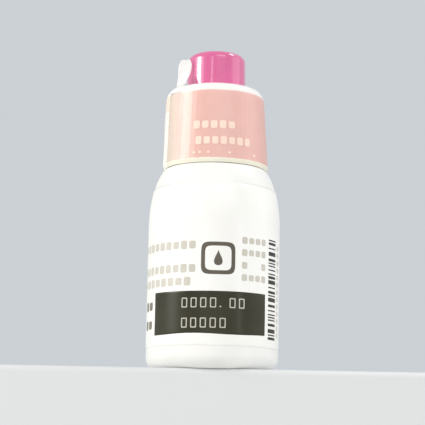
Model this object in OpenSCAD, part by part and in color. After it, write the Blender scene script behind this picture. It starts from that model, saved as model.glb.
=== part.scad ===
// Contact lens solution bottle, 10 ml: a blow-moulded bottle with a dropper plug, a two-piece
// screw cap sealed by a shrink film with a tear strip, and a wrap-round body label.
// Millimetres, +Z up. The origin is the centre of the foot, and the front of the bottle faces -Y.

/* [Bottle] */
// Outer diameter of the straight body
body_d = 24.8; // [22:0.2:36]
// Height of the ledge on which the shoulder ends
ledge_z = 38.2; // [34:0.2:60]
// Height of the rounded shoulder
shoulder_h = 11.2; // [8:0.2:14]
// How far round its ellipse the shoulder runs before the ledge cuts it
shoulder_fullness = 0.93; // [0.8:0.01:0.98]
// Wall thickness of the bottle
bottle_wall = 0.9; // [0.6:0.05:1.2]
// Rounding of the foot
heel_r = 2.5; // [1.6:0.1:3.5]
// Width of the flat ring on which the bottle stands
foot_w = 0.9; // [0.5:0.1:1.5]
// Depth of the push-up in the base
pushup_h = 1.2; // [0.4:0.1:2]

/* [Neck] */
// Outer diameter of the neck without its thread
neck_d = 13.8; // [13:0.2:15.6]
// Length of the neck above the ledge
neck_h = 11.8; // [10.6:0.2:15]
// Wall thickness of the neck
neck_wall = 1.4; // [1:0.1:1.8]
// Rise of the thread in one turn
thread_pitch = 3.2; // [2.8:0.1:3.6]
// Turns of thread on the neck
thread_turns = 1.6; // [1:0.1:1.8]
// How far the ridge stands out of its wall
thread_depth = 0.7; // [0.5:0.05:0.9]
// Thickness of the ridge where it leaves the wall
thread_root_w = 1.3; // [1.1:0.05:1.5]
// Thickness of the ridge at its crest
thread_crest_w = 0.6; // [0.4:0.05:0.9]
// Radial gap between a crest and the wall it faces
thread_gap = 0.3; // [0.2:0.05:0.5]
// Gap between the flanks that pull the cap down
flank_gap = 0.15; // [0.1:0.05:0.3]

/* [Inner plug] */
// Length of the skirt pressed into the neck
plug_skirt_h = 5.8; // [4:0.2:8]
// Wall thickness of the skirt
plug_wall = 0.8; // [0.6:0.1:1.1]
// Thickness of the flange on the neck's rim
plug_flange_h = 1.2; // [0.8:0.1:1.6]
// Height of the dropper tip above the flange
tip_h = 7.4; // [5:0.2:11]
// Diameter of the dropper tip at its end
tip_d = 3.4; // [2.8:0.1:4]
// Diameter of the drop hole
orifice_d = 1; // [0.8:0.05:1.3]

/* [Cap] */
// Diameter of the coloured dome
dome_d = 10.9; // [10.2:0.1:11.8]
// Wall thickness of the dome
dome_wall = 1; // [0.7:0.05:1.2]
// Thickness of the dome's roof
dome_roof = 2.1; // [1.4:0.1:2.4]
// Rounding of the dome's top edge
dome_edge_r = 1.5; // [1:0.1:2.4]
// Thickness of the flange that holds the dome in the collar
dome_flange_h = 1.1; // [0.8:0.1:1.6]
// Wall thickness of the collar at its narrow end, without ribs
collar_wall = 0.9; // [0.7:0.05:1.4]
// Slope of the collar's side
collar_draft = 3.8; // [1:0.1:5]
// Thickness of the lip over the dome's flange
lip_h = 1.45; // [1.2:0.05:2]
// Rounding of the collar's shoulder
collar_edge_r = 1.85; // [1.2:0.05:1.9]
// Number of grip ribs round the collar
ribs = 60; // [36:2:72]
// How far a rib stands out
rib_h = 0.2; // [0.1:0.05:0.3]
// Width of a rib
rib_w = 0.5; // [0.3:0.05:0.6]

/* [Shrink film] */
// Thickness of the film
film_wall = 0.12; // [0.08:0.01:0.2]
// Gap between the film and the collar's ribs
film_gap = 0.08; // [0.05:0.01:0.12]
// How far the film is drawn round the collar's shoulder, in degrees
film_wrap = 62; // [30:2:80]
// Width of the tear strip
strip_w = 2.9; // [1.6:0.1:4]
// How far the strip stands out of the film
strip_proud = 0.12; // [0.05:0.01:0.2]
// Width of the perforated line beside the strip
perforation_w = 0.1; // [0.08:0.01:0.2]
// Place of the strip, in degrees left of the front
strip_at = 75.5; // [50:0.5:120]
// Distance from the middle of the strip to the middle of the pull tab, in degrees
tab_from_strip = 18; // [14:0.5:26]
// Height of the pull tab
tab_h = 5.3; // [4:0.1:8]
// Width of the pull tab's round head
tab_w = 2.5; // [2:0.1:3.2]
// Width of the pull tab at its foot
tab_foot_w = 2.6; // [1:0.1:2.8]
// Thickness of the pull tab
tab_wall = 0.25; // [0.2:0.05:0.4]
// Turn of the tab's head towards the front, in degrees
tab_twist = 58; // [0:1:62]
// How far the tab's head leans in towards the dome
tab_lean = 0.8; // [0:0.1:1]

/* [Label and liquid] */
// Height of the label's lower edge
label_z = 4; // [3.6:0.1:8]
// Distance from the label's upper edge up to the ledge
label_drop = 4; // [3:0.2:12]
// Thickness of the label
label_wall = 0.07; // [0.05:0.01:0.12]
// Distance from the liquid's surface up to the start of the shoulder
fill_drop = 1; // [0.5:0.5:10]

/* [Hidden] */
$fn = 96;

press_gap = 0.02;      // between pieces pressed or shrunk onto each other
seat_gap = 0.1;        // between faces that close on each other
running_gap = 0.15;    // between the dome and the collar that turns round it
foot_gap = 0.15;       // between the film and the ledge
cap_gap = 0.5;         // between the collar and the ledge
flange_play = 0.5;     // from the dome's flange to the collar's bore, so that it goes in from below
snap_grip = 0.35;      // how far the bead reaches under the dome's flange
bead_play = 0.35;      // from the plug's flange to the bead that passes it
tip_play = 0.85;       // from the foot of the dropper tip to the dome's bore
tip_headroom = 0.8;    // from the dropper tip to the dome's roof
rim_clear = 2.4;       // from the last of the thread to the neck's rim
ledge_inset = 0.25;    // from the cone of the ribs to the edge of the ledge
tab_gap = 0.2;         // between the foot of the tab and the collar's top
tab_reach = 0.95;      // how far out the tab stands on the shoulder's rounding
tongue_foot = 30;      // how far round the collar's shoulder the strip's tongue starts, in degrees
tongue_head = 52;      // and how far it reaches
thread_steps = 36;     // facets in one turn of a ridge
thread_sink = 0.2;     // how far a ridge is rooted in its wall
thread_fade = 7;       // facets over which a ridge runs out
crown_slope = 14;      // slope of the dome's crown at its edge, in degrees

body_r = body_d / 2;
shoulder_z = ledge_z - shoulder_h;
foot_r = body_r - heel_r;
pushup_r = foot_r - foot_w;

neck_r = neck_d / 2;
neck_bore_r = neck_r - neck_wall;
neck_z = ledge_z + neck_h;
thread_z = neck_z - rim_clear - thread_turns * thread_pitch;

collar_bore_r = neck_r + thread_depth + thread_gap;
dome_flange_r = collar_bore_r - flange_play;
bead_r = dome_flange_r - snap_grip;
plug_flange_r = bead_r - bead_play;

plug_z = neck_z + plug_flange_h;
dome_flange_z = plug_z + seat_gap;
lip_z = dome_flange_z + dome_flange_h + seat_gap;
collar_top_z = lip_z + lip_h;
collar_z = ledge_z + cap_gap;
collar_edge_z = collar_top_z - collar_edge_r;

tip_z = plug_z + tip_h;
tip_r = tip_d / 2;
orifice_r = orifice_d / 2;
dome_r = dome_d / 2;
dome_bore_r = dome_r - dome_wall;
dome_bore_z = tip_z + tip_headroom;
dome_z = dome_bore_z + dome_roof;
tip_foot_r = dome_bore_r - tip_play;

film_z = ledge_z + foot_gap;
strip_r = crest_r(film_z) + film_gap + film_wall;
shoulder_x = crest_r(collar_edge_z) - collar_edge_r;
tab_r = shoulder_x + tab_reach;
tab_z = collar_top_z + tab_gap;

// Radius of the collar's rib crests at a height: a cone that widens downwards
function crest_r(z) = collar_bore_r + collar_wall + rib_h + (collar_edge_z - z) * tan(collar_draft);
ledge_r = crest_r(ledge_z) - ledge_inset;

// Points on an arc from angle a to angle b
function arc(x, z, r, a, b, steps = 8) =
    [for (i = [0:steps]) let (t = a + (b - a) * i / steps) [x + r * cos(t), z + r * sin(t)]];

// Radius of the shoulder at height z: part of an ellipse that starts upright at the body
function shoulder_r(z) =
    let (t = shoulder_fullness * max(0, z - shoulder_z) / shoulder_h,
         bulge = (body_r - ledge_r) / (1 - sqrt(1 - pow(shoulder_fullness, 2))))
    body_r - bulge * (1 - sqrt(1 - t * t));

// The shoulder's points from height a to height b, moved outwards by grow
function shoulder(a, b, grow = 0, steps = 16) =
    [for (i = [0:steps]) let (z = a + (b - a) * i / steps) [shoulder_r(z) + grow, z]];

// The push-up under the base, from the axis out to the flat ring, raised by lift
function pushup(lift, steps = 8) =
    [for (i = [0:steps]) let (r = pushup_r * i / steps)
        [r, lift + pushup_h * (1 - pow(r / pushup_r, 2))]];

// Turns children to a place on the bottle, given in degrees left of the front
module left_of_front(angle) {
    rotate([0, 0, 270 - angle]) children();
}

// A helical ridge of trapezoid section. side is 1 on a neck and -1 inside a cap.
module thread_ridge(wall_r, side, z, turns) {
    steps = round(turns * thread_steps);
    function height(i) =
        min(thread_depth, (thread_depth + thread_sink) * min(i, steps - i) / thread_fade - thread_sink / 2);
    function section(h) = [[-thread_sink, -thread_root_w / 2], [h, -thread_crest_w / 2],
                           [h, thread_crest_w / 2], [-thread_sink, thread_root_w / 2]];
    points = [for (i = [0:steps], p = section(height(i)))
        let (t = 360 * i / thread_steps, r = wall_r + side * p[0])
        [r * cos(t), r * sin(t), z + thread_pitch * i / thread_steps + p[1]]];
    sides = [for (i = [0:steps - 1], k = [0:3])
        let (a = 4 * i + k, b = 4 * i + (k + 1) % 4, up = 4)
        each [[a, b, b + up], [a, b + up, a + up]]];
    ends = [[3, 2, 1], [3, 1, 0], [for (k = [0, 1, 2]) 4 * steps + k], [for (k = [0, 2, 3]) 4 * steps + k]];
    faces = concat(sides, ends);
    polyhedron(points, side < 0 ? [for (f = faces) [f[2], f[1], f[0]]] : faces, convexity = 6);
}

// Bottle with its shoulder, ledge, threaded neck and pushed-up base
module bottle_shell() {
    inner_heel_r = heel_r - bottle_wall;
    color("white") union() {
        rotate_extrude() polygon(concat(
            pushup(0),
            arc(foot_r, heel_r, heel_r, -90, 0),
            shoulder(shoulder_z, ledge_z),
            [[neck_r + 0.5, ledge_z]],
            arc(neck_r + 0.5, ledge_z + 0.5, 0.5, -90, -180, 4),
            [[neck_r, neck_z], [neck_bore_r, neck_z]],
            arc(neck_bore_r + 0.6, ledge_z - bottle_wall + 0.6, 0.6, 180, 270, 4),
            [for (i = [16:-1:0]) let (z = shoulder_z + (shoulder_h - bottle_wall) * i / 16)
                [shoulder_r(z) - bottle_wall, z]],
            arc(foot_r, heel_r, inner_heel_r, 0, -90),
            [for (i = [8:-1:0]) pushup(bottle_wall)[i]]));
        thread_ridge(neck_r, 1, thread_z, thread_turns);
    }
}

// Dropper plug: a skirt in the neck, a flange on its rim and a tapered tip
module nozzle_plug() {
    skirt_r = neck_bore_r - press_gap;
    color("ghostwhite") rotate_extrude() polygon(concat(
        [[skirt_r - 0.3, neck_z - plug_skirt_h], [skirt_r, neck_z - plug_skirt_h + 0.6],
         [skirt_r, neck_z], [plug_flange_r, neck_z], [plug_flange_r, plug_z], [tip_foot_r, plug_z]],
        arc(tip_r - 0.6, tip_z - 0.6, 0.6, 15, 90, 5),
        [[orifice_r + 0.3, tip_z], [orifice_r, tip_z - 0.4], [orifice_r, tip_z - 2],
         [tip_foot_r - plug_wall, plug_z], [skirt_r - plug_wall, neck_z - 0.6],
         [skirt_r - plug_wall, neck_z - plug_skirt_h]]));
}

// Coloured dome with the flange that the collar traps and the pin that closes the drop hole
module cap_dome() {
    edge_x = dome_r - dome_edge_r;
    crown_r = edge_x + dome_edge_r * sin(crown_slope);
    crown_h = crown_r * tan(crown_slope) / 2;
    edge_z = dome_z - crown_h - dome_edge_r * cos(crown_slope);
    pin_r = orifice_r - running_gap;
    color("hotpink") rotate_extrude() polygon(concat(
        [[dome_bore_r, dome_flange_z], [dome_flange_r, dome_flange_z],
         [dome_flange_r, dome_flange_z + dome_flange_h], [dome_r, dome_flange_z + dome_flange_h]],
        arc(edge_x, edge_z, dome_edge_r, 0, 90 - crown_slope, 10),
        [for (i = [9:-1:0]) let (r = crown_r * i / 10) [r, dome_z - crown_h * pow(i / 10, 2)]],
        [[0, tip_z - 0.7], [pin_r - 0.1, tip_z - 0.7], [pin_r, tip_z - 0.4], [pin_r, dome_bore_z]],
        arc(dome_bore_r - 1, dome_bore_z - 1, 1, 90, 0, 5)));
}

// Ribbed collar that screws onto the neck and turns round the dome
module screw_collar() {
    flank = (thread_root_w - thread_crest_w) / 2;
    mesh_drop = thread_root_w - flank * (collar_bore_r - neck_r) / thread_depth + flank_gap;
    rib_end_z = collar_edge_z - 0.3;
    color("white") union() {
        rotate_extrude() polygon(concat(
            [[collar_bore_r + 0.3, collar_z], [crest_r(collar_z) - rib_h, collar_z],
             [crest_r(rib_end_z) - rib_h, rib_end_z]],
            arc(shoulder_x, collar_edge_z, collar_edge_r, 0, 90, 10),
            arc(dome_r + running_gap + 0.4, collar_top_z - 0.4, 0.4, 90, 180, 4),
            [[dome_r + running_gap, lip_z], [dome_flange_r + running_gap, lip_z],
             [dome_flange_r + running_gap, dome_flange_z - seat_gap],
             [bead_r, dome_flange_z - seat_gap - 0.3], [bead_r, dome_flange_z - seat_gap - 0.6],
             [collar_bore_r, dome_flange_z - seat_gap - 1.5], [collar_bore_r, collar_z + 0.3]]));
        intersection() {
            rotate_extrude() polygon([
                [collar_bore_r + 0.4, collar_z + 0.2], [crest_r(collar_z + 0.2), collar_z + 0.2],
                [crest_r(collar_edge_z), collar_edge_z], [collar_bore_r + 0.4, collar_edge_z]]);
            for (i = [0:ribs - 1]) rotate([0, 0, 360 * i / ribs])
                translate([collar_bore_r + 0.5, -rib_w / 2, collar_z]) cube([4, rib_w, neck_h + 5]);
        }
        thread_ridge(collar_bore_r, -1, thread_z - mesh_drop, thread_turns);
    }
}

// Outline of a layer on the collar's shoulder, near and far from it, between two angles
module shoulder_outline(near, far, a, b) {
    polygon(concat(
        arc(shoulder_x, collar_edge_z, collar_edge_r + far, a, b, 10),
        arc(shoulder_x, collar_edge_z, collar_edge_r + near, b, a, 10)));
}

// Outline of a sleeve that follows the collar's side and shoulder
module sleeve_outline(near, far) {
    foot_r = crest_r(film_z);
    polygon(concat(
        [[foot_r + near, film_z], [foot_r + far, film_z]],
        arc(shoulder_x, collar_edge_z, collar_edge_r + far, 0, film_wrap, 10),
        arc(shoulder_x, collar_edge_z, collar_edge_r + near, film_wrap, 0, 10)));
}

// Half of the angle that a width takes up on the film
function half_angle(width) = asin(width / 2 / strip_r);

// Printed film, open only where the tear strip lies
module shrink_film() {
    open = half_angle(strip_w + 2 * perforation_w);
    color("lightpink") left_of_front(strip_at) rotate([0, 0, open])
        rotate_extrude(angle = 360 - 2 * open) sleeve_outline(film_gap, film_gap + film_wall);
}

// Stiffer strip between the two perforated lines. A tongue runs from it over the film's upper
// part to the foot of the tab.
module tear_strip() {
    half = half_angle(strip_w);
    far = film_gap + film_wall + strip_proud;
    tongue = tab_from_strip + asin(tab_foot_w / 2 / tab_r);
    color("white") left_of_front(strip_at) union() {
        rotate([0, 0, -half]) rotate_extrude(angle = 2 * half) sleeve_outline(film_gap, far);
        rotate_extrude(angle = tongue)
            shoulder_outline(film_gap + film_wall + press_gap, far, tongue_foot, tongue_head);
    }
}

// Leaf-shaped tab that stands up beside the dome. Its foot lies along the collar's edge, and as it
// rises it turns towards the front and leans towards the dome, up to its round head.
module pull_tab() {
    waist = 0.4;  // share of the turn and the lean that the waist has
    // Puts a slice of the leaf at a height, with its share of the turn and the lean
    module slice(z, share) {
        translate([-tab_lean * share, 0, z]) rotate([0, 0, tab_twist * share]) children();
    }
    module bar(width) translate([-tab_wall / 2, -width / 2, 0]) cube([tab_wall, width, 0.3]);
    module disc() rotate([0, 90, 0]) cylinder(h = tab_wall, d = tab_w, center = true, $fn = 32);
    color("white") left_of_front(strip_at - tab_from_strip) translate([tab_r, 0, tab_z]) union() {
        hull() {
            bar(tab_foot_w);
            slice(tab_h * 0.3, waist) bar(tab_w);
        }
        hull() {
            slice(tab_h * 0.3, waist) bar(tab_w);
            slice(tab_h * 0.56, 1) disc();
            slice(tab_h - tab_w / 2, 1) disc();
        }
    }
}

// Thin label round the body and the lower shoulder
module body_label() {
    top_z = ledge_z - label_drop;
    function skin(grow) = concat([[body_r + grow, label_z]], shoulder(shoulder_z, top_z, grow, 10));
    inner = skin(press_gap);
    color("snow") rotate_extrude() polygon(concat(
        skin(press_gap + label_wall), [for (i = [len(inner) - 1:-1:0]) inner[i]]));
}

// The liquid, standing on the inside of the base
module solution() {
    wet_r = body_r - bottle_wall - press_gap;
    color("aliceblue", 0.6) rotate_extrude() polygon(concat(
        pushup(bottle_wall + press_gap),
        arc(foot_r, heel_r, heel_r - bottle_wall - press_gap, -90, 0),
        [[wet_r, shoulder_z - fill_drop], [0, shoulder_z - fill_drop]]));
}

bottle_shell();
nozzle_plug();
body_label();
solution();
cap_dome();
screw_collar();
shrink_film();
tear_strip();
pull_tab();
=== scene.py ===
import math
import bmesh
import bpy
import numpy as np
from mathutils import Matrix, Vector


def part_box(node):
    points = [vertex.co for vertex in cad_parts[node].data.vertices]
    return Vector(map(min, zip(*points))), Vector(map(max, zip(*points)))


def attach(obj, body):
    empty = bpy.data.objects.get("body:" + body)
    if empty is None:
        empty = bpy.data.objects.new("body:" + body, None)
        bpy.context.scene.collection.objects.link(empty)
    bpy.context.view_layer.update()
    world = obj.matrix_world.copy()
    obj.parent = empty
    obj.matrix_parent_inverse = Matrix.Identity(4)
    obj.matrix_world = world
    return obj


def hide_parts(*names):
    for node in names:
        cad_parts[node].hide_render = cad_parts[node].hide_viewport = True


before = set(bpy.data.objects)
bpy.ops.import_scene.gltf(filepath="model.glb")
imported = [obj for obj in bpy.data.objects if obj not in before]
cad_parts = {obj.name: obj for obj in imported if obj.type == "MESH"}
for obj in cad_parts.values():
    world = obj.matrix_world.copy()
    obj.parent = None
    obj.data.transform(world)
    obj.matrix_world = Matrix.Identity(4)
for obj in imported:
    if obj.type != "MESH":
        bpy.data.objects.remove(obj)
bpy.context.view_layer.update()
mm = 0.001
tau = 2 * math.pi
print("stage 1: frame loaded with", len(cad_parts), "nodes")


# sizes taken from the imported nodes, in millimetres: outer radius, lowest height, highest height
def nodeSizes(node):
    low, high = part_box(node)
    return high.x / mm, low.z / mm, high.z / mm


bodyRadius, _, neckTop = nodeSizes("bottle_shell")
labelRadius, labelFoot, labelHead = nodeSizes("body_label")
flangeRadius, flangeFoot, domeTop = nodeSizes("cap_dome")
plugRadius, plugFoot, tipTop = nodeSizes("nozzle_plug")
_, collarFoot, collarTop = nodeSizes("screw_collar")
_, filmFoot, _ = nodeSizes("shrink_film")

cone = {"edgeRadius": 9.0, "edgeHeight": 52.1, "draft": 3.8, "shoulderRound": 1.85, "ribs": 60}
stripAzimuth = -75.5  # degrees from the front, to the right
thread = {"pitch": 3.2, "turns": 1.6, "depth": 0.7, "root": 1.3, "crest": 0.6, "fade": 7 / 36,
          "neckStart": 42.48, "capStart": 41.53}


def ribCrest(height):  # radius of the collar's rib crests: a cone that widens downwards
    return cone["edgeRadius"] + (cone["edgeHeight"] - height) * math.tan(math.radians(cone["draft"]))


def softStep(value):  # 0 below 0, 1 above 1, and 3v² - 2v³ between
    value = np.clip(value, 0, 1)
    return value * value * (3 - 2 * value)


# a smooth line through values at places: each stretch is the cubic that has, at both of its ends, the
# value there and the slope of the neighbouring values
def lineThrough(at, places, values):
    places, values = np.array(places, float), np.array(values, float)
    slopes = np.gradient(values, places)
    k = np.clip(np.searchsorted(places, at) - 1, 0, len(places) - 2)
    gap = places[k + 1] - places[k]
    t = (at - places[k]) / gap
    return ((1 + 2 * t) * (1 - t) ** 2 * values[k] + t * (1 - t) ** 2 * gap * slopes[k]
            + t * t * (3 - 2 * t) * values[k + 1] + t * t * (t - 1) * gap * slopes[k + 1])


# the ridge climbs one pitch a turn; its section is a trapezoid with soft flanks, and both ends run out
def threadRise(angle, height, start):
    rise = 0 * angle + 0 * height
    for lap in (0, 1):
        turn = angle / tau + lap
        depth = thread["depth"] * softStep(np.minimum(turn, thread["turns"] - turn) / thread["fade"])
        away = np.abs(height - start - thread["pitch"] * turn)
        flank = (thread["root"] - thread["crest"]) / 2
        rise = np.maximum(rise, depth * softStep((thread["root"] / 2 - away) / flank))
    return rise


# points is one grid, rows x columns x 3 in millimetres, or a stack of such grids, and neighbours make quads.
# ring joins a grid's last column to its first one, and loop its last row to its first one.
def gridObject(name, points, material, ring=False, loop=False):
    points = points if points.ndim == 4 else points[None]
    index = np.arange(points[..., 0].size).reshape(points.shape[:3])
    if loop:
        index = np.concatenate([index, index[:, :1]], axis=1)
    if ring:
        index = np.concatenate([index, index[:, :, :1]], axis=2)
    quads = np.stack([index[:, :-1, :-1], index[:, :-1, 1:], index[:, 1:, 1:], index[:, 1:, :-1]], axis=-1)
    mesh = bpy.data.meshes.new(name)
    mesh.from_pydata((points.reshape(-1, 3) * mm).tolist(), [], quads.reshape(-1, 4).tolist())
    weld(mesh)
    mesh.shade_smooth()
    mesh.set_sharp_from_angle(angle=math.radians(38))
    mesh.materials.append(material)
    piece = bpy.data.objects.new(name, mesh)
    bpy.context.scene.collection.objects.link(piece)
    return piece


# joins the points that meet at poles and seams, then turns the faces outwards
def weld(mesh):
    work = bmesh.new()
    work.from_mesh(mesh)
    bmesh.ops.remove_doubles(work, verts=work.verts, dist=1e-7)
    bmesh.ops.recalc_face_normals(work, faces=work.faces)
    work.to_mesh(mesh)
    work.free()


# gives a sheet its wall; side is -1 to grow it behind its face, 0 both ways and 1 in front
def thicken(piece, wall, side):
    solid = piece.modifiers.new("wall", "SOLIDIFY")
    solid.thickness = wall * mm
    solid.offset = side
    solid.use_even_offset = True


# corners are radius, height and rounding. Each rounded corner is cut back along both of its edges and
# joined by an arc, and the straight stretches get points at the given spacing.
def outline(corners, closed=True, spacing=0.6, steps=6):
    corners = np.array(corners, float)
    parts = []
    for i, (x, z, rounding) in enumerate(corners):
        here = np.array([x, z])
        if rounding == 0:
            parts.append(here[None])
            continue
        back = corners[i - 1, :2] - here
        ahead = corners[(i + 1) % len(corners), :2] - here
        back, ahead = back / np.linalg.norm(back), ahead / np.linalg.norm(ahead)
        half = math.acos(np.clip(back @ ahead, -1, 1)) / 2
        middle = here + (back + ahead) / np.linalg.norm(back + ahead) * rounding / math.sin(half)
        first = here + back * rounding / math.tan(half) - middle
        last = here + ahead * rounding / math.tan(half) - middle
        turn = math.pi - 2 * half
        share = np.linspace(0, 1, steps)[:, None]
        arc = (np.sin((1 - share) * turn) * first + np.sin(share * turn) * last) / math.sin(turn)
        parts.append(middle + arc)
    points = np.concatenate(parts)
    ends = np.concatenate([points[1:], points[:1]]) if closed else points[1:]
    filled = [np.linspace(a, b, max(1, round(np.linalg.norm(b - a) / spacing)), endpoint=False)
              for a, b in zip(points, ends)]
    return np.concatenate(filled if closed else filled + [points[-1:]])


# part of a circle round x and z, from one angle to another in degrees
def circlePart(x, z, radius, first, last, steps):
    turn = np.radians(np.linspace(first, last, steps))
    return np.stack([x + radius * np.cos(turn), z + radius * np.sin(turn)], axis=-1)


# every outline point is carried round the axis: x = r cos a, y = r sin a. rise moves it outwards.
def turned(points, angles, rise=0):
    radius = points[:, :1] + rise
    height = points[:, 1:2] + 0 * angles
    return np.stack([radius * np.cos(angles), radius * np.sin(angles), height], axis=-1)


# azimuth in degrees from the front, to the right of someone facing it; height in millimetres
def aroundFront(azimuth, height, radius):
    turn = np.radians(azimuth)
    return np.stack(np.broadcast_arrays(radius * np.sin(turn), -radius * np.cos(turn), height), axis=-1)


def fullTurn(columns):
    return np.linspace(0, tau, columns, endpoint=False)


# puts a piece on its body and hides the imported nodes that it replaces; slot is not used
def seat(piece, body, slot, *nodes):
    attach(piece, body)
    if nodes:
        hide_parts(*nodes)
    return piece


def newGroup(name, inputs, outputs):
    group = bpy.data.node_groups.new(name, "ShaderNodeTree")
    for label, kind, value in inputs:
        socket = group.interface.new_socket(label, in_out="INPUT", socket_type=kind)
        socket.default_value = value
    for label, kind in outputs:
        group.interface.new_socket(label, in_out="OUTPUT", socket_type=kind)
    return group, group.nodes.new("NodeGroupInput"), group.nodes.new("NodeGroupOutput")


# settings are the node's own values; links are its inputs, by name or as i0, i1 and so on
def addNode(tree, kind, settings=None, **links):
    node = tree.nodes.new(kind)
    for key, value in (settings or {}).items():
        setattr(node, key, value)
    for key, value in links.items():
        socket = node.inputs[int(key[1:])] if key[0] == "i" and key[1:].isdigit() else node.inputs[key]
        if isinstance(value, bpy.types.NodeSocket):
            tree.links.new(value, socket)
        else:
            socket.default_value = value
    return node


def mathNode(tree, operation, *values, **settings):
    inputs = {f"i{k}": value for k, value in enumerate(values)}
    return addNode(tree, "ShaderNodeMath", {"operation": operation, **settings}, **inputs).outputs["Value"]


def mixColors(tree, mask, first, second):
    node = addNode(tree, "ShaderNodeMix", {"data_type": "RGBA"}, i0=mask, i6=first, i7=second)
    return node.outputs["Result"]


def mixValues(tree, mask, first, second):
    return addNode(tree, "ShaderNodeMix", None, i0=mask, i2=first, i3=second).outputs["Result"]


def noiseNode(tree, scale, detail=2, rough=0.5):
    place = addNode(tree, "ShaderNodeTexCoord")
    noise = addNode(tree, "ShaderNodeTexNoise", None, Vector=place.outputs["Object"], Scale=scale,
                    Detail=detail, Roughness=rough)
    return noise.outputs["Fac"]


# fine grain and slow mottling of a moulded or blown surface
def mouldedFinish():
    group, given, made = newGroup(
        "mouldedFinish",
        [("Color", "NodeSocketColor", (0.8, 0.8, 0.8, 1)), ("Shade", "NodeSocketColor", (0.7, 0.7, 0.7, 1)),
         ("Roughness", "NodeSocketFloat", 0.4), ("Grain", "NodeSocketFloat", 1)],
        [("Color", "NodeSocketColor"), ("Roughness", "NodeSocketFloat"), ("Height", "NodeSocketFloat")])
    slow = noiseNode(group, 160, 3)
    fine = noiseNode(group, 2600, 3, 0.6)
    blend = addNode(group, "ShaderNodeMapRange", None, Value=slow, i1=0.4, i2=0.62)
    color = mixColors(group, blend.outputs["Result"], given.outputs["Color"], given.outputs["Shade"])
    roughness = mathNode(group, "MULTIPLY_ADD", slow, 0.12, given.outputs["Roughness"])
    group.links.new(color, made.inputs["Color"])
    group.links.new(roughness, made.inputs["Roughness"])
    group.links.new(mathNode(group, "MULTIPLY", fine, given.outputs["Grain"]), made.inputs["Height"])
    return group


# the film is inked from low to high, and the strip from stripLow; towards the strip, over the reach that
# filmPrint gives, a painted sheen turns the ink paler
filmPrint = {"low": 39.15, "high": 52.3, "stripLow": 49.2, "sheenFrom": 8.1, "sheenTo": 9.3, "ragged": 0.22,
             "uneven": 0.1}


# ink on a clear film between two heights, with slightly ragged edges and uneven cover, and another
# colour and cover below the ink and above it. Beside the tear strip a painted sheen makes the ink paler.
def filmInk():
    group, given, made = newGroup(
        "filmInk",
        [("Ink", "NodeSocketColor", (0.8, 0.5, 0.4, 1)), ("Painted sheen ink", "NodeSocketColor", (0.9, 0.8, 0.7, 1)),
         ("Foot", "NodeSocketColor", (0.9, 0.88, 0.8, 1)), ("Top", "NodeSocketColor", (0.9, 0.9, 0.9, 1)),
         ("Ink cover", "NodeSocketFloat", 0.75), ("Foot cover", "NodeSocketFloat", 0.3),
         ("Top cover", "NodeSocketFloat", 0.1), ("Low", "NodeSocketFloat", 0.039),
         ("High", "NodeSocketFloat", 0.052)],
        [("Color", "NodeSocketColor"), ("Cover", "NodeSocketFloat")])
    place = addNode(group, "ShaderNodeTexCoord")
    split = addNode(group, "ShaderNodeSeparateXYZ", None, Vector=place.outputs["Object"])
    ragged = mathNode(group, "MULTIPLY_ADD", noiseNode(group, 900), filmPrint["ragged"] * mm,
                      split.outputs["Z"])
    inked = mathNode(group, "GREATER_THAN", ragged, given.outputs["Low"])
    topped = mathNode(group, "GREATER_THAN", ragged, given.outputs["High"])
    towards = math.radians(stripAzimuth)
    reach = addNode(group, "ShaderNodeVectorMath", {"operation": "DOT_PRODUCT"}, i0=place.outputs["Object"],
                    i1=(math.sin(towards), -math.cos(towards), 0))
    # painted sheen: how near the film comes to the strip, which pales the ink there
    beside = addNode(group, "ShaderNodeMapRange", {"interpolation_type": "SMOOTHSTEP"},
                     Value=reach.outputs["Value"], i1=filmPrint["sheenFrom"] * mm,
                     i2=filmPrint["sheenTo"] * mm)
    ink = mixColors(group, beside.outputs["Result"], given.outputs["Ink"], given.outputs["Painted sheen ink"])
    color = mixColors(group, inked, given.outputs["Foot"], ink)
    color = mixColors(group, topped, color, given.outputs["Top"])
    cover = mixValues(group, inked, given.outputs["Foot cover"], given.outputs["Ink cover"])
    cover = mixValues(group, topped, cover, given.outputs["Top cover"])
    cover = mathNode(group, "MULTIPLY_ADD", noiseNode(group, 420, 3), filmPrint["uneven"], cover,
                     use_clamp=True)
    group.links.new(color, made.inputs["Color"])
    group.links.new(cover, made.inputs["Cover"])
    return group


finishGroup = mouldedFinish()
inkGroup = filmInk()


def principled(name, **constants):
    material = bpy.data.materials.new(name)
    material.use_nodes = True
    shader = material.node_tree.nodes["Principled BSDF"]
    for socket, value in constants.items():
        shader.inputs[socket.replace("_", " ")].default_value = value
    return material, material.node_tree, shader


def linear(red, green, blue):  # a colour written as on a screen, 0 to 255, made linear
    share = np.array([red, green, blue]) / 255
    return (*np.where(share <= 0.04045, share / 12.92, ((share + 0.055) / 1.055) ** 2.4), 1)


# one moulded or printed material: its colour, the shade that mottles it, its roughness, its grain in
# micrometres, and constants for the shader's own sockets
def moulded(name, color, shade, roughness, grain, **constants):
    material, tree, shader = principled(name, **constants)
    finish = addNode(tree, "ShaderNodeGroup", {"node_tree": finishGroup}, Color=linear(*color),
                     Shade=linear(*shade), Roughness=roughness, Grain=grain)
    bump = addNode(tree, "ShaderNodeBump", None, Strength=1.0, Distance=1e-6,
                   Height=finish.outputs["Height"])
    tree.links.new(finish.outputs["Color"], shader.inputs["Base Color"])
    tree.links.new(finish.outputs["Roughness"], shader.inputs["Roughness"])
    tree.links.new(bump.outputs["Normal"], shader.inputs["Normal"])
    return material


# the second, paler salmon is a painted sheen beside the tear strip
salmon, sheenSalmon = (254, 199, 187), (250, 229, 212)
# the cream foot of the clear film, nearly opaque, is a painted shade of the gap between collar and bottle
# seen through it
footShadeCream, clearTop = (255, 250, 228), (255, 255, 255)


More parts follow.
